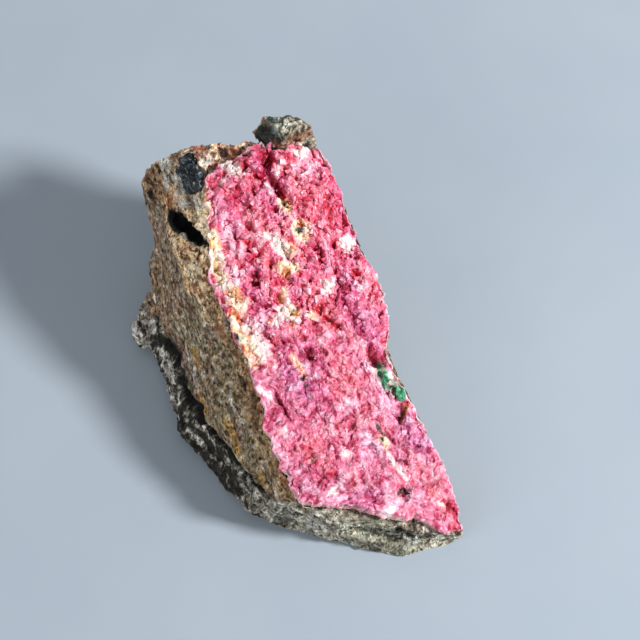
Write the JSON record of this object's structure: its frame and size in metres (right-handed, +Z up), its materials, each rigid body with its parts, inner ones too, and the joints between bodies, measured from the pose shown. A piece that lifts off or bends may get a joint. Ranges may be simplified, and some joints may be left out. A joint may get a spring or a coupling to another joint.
{
  "type": "cobaltoan calcite specimen",
  "caption": "Wedge-shaped hand specimen of grey-brown rock whose sloping top face carries a crust of drusy pink calcite, with small patches of black heterogenite and green malachite.",
  "frame": {"origin": "centre of the bounding box's underside, on the flat broken face that the specimen rests on", "axes": "+Z up, +Y along the length from the low front end to the high back end, +X to the right; the pink face slopes down towards -Y and +X"},
  "size_m": [0.0442, 0.079, 0.0362],
  "materials": {
    "host_rock": "rough broken grey-brown rock with a dark seam and rusty and pale grains",
    "pink_calcite": "translucent pink crystals with glassy faces, paler edges and deep magenta hollows",
    "black_heterogenite": "blue-black, rounded, half glossy",
    "green_malachite": "deep green, silky"
  },
  "bodies": {
    "root": {"matrix_rock": "host_rock", "calcite_druse": "pink_calcite", "heterogenite_patch": "black_heterogenite", "malachite_lower": "green_malachite", "malachite_upper": "green_malachite"}
  },
  "joints": []
}
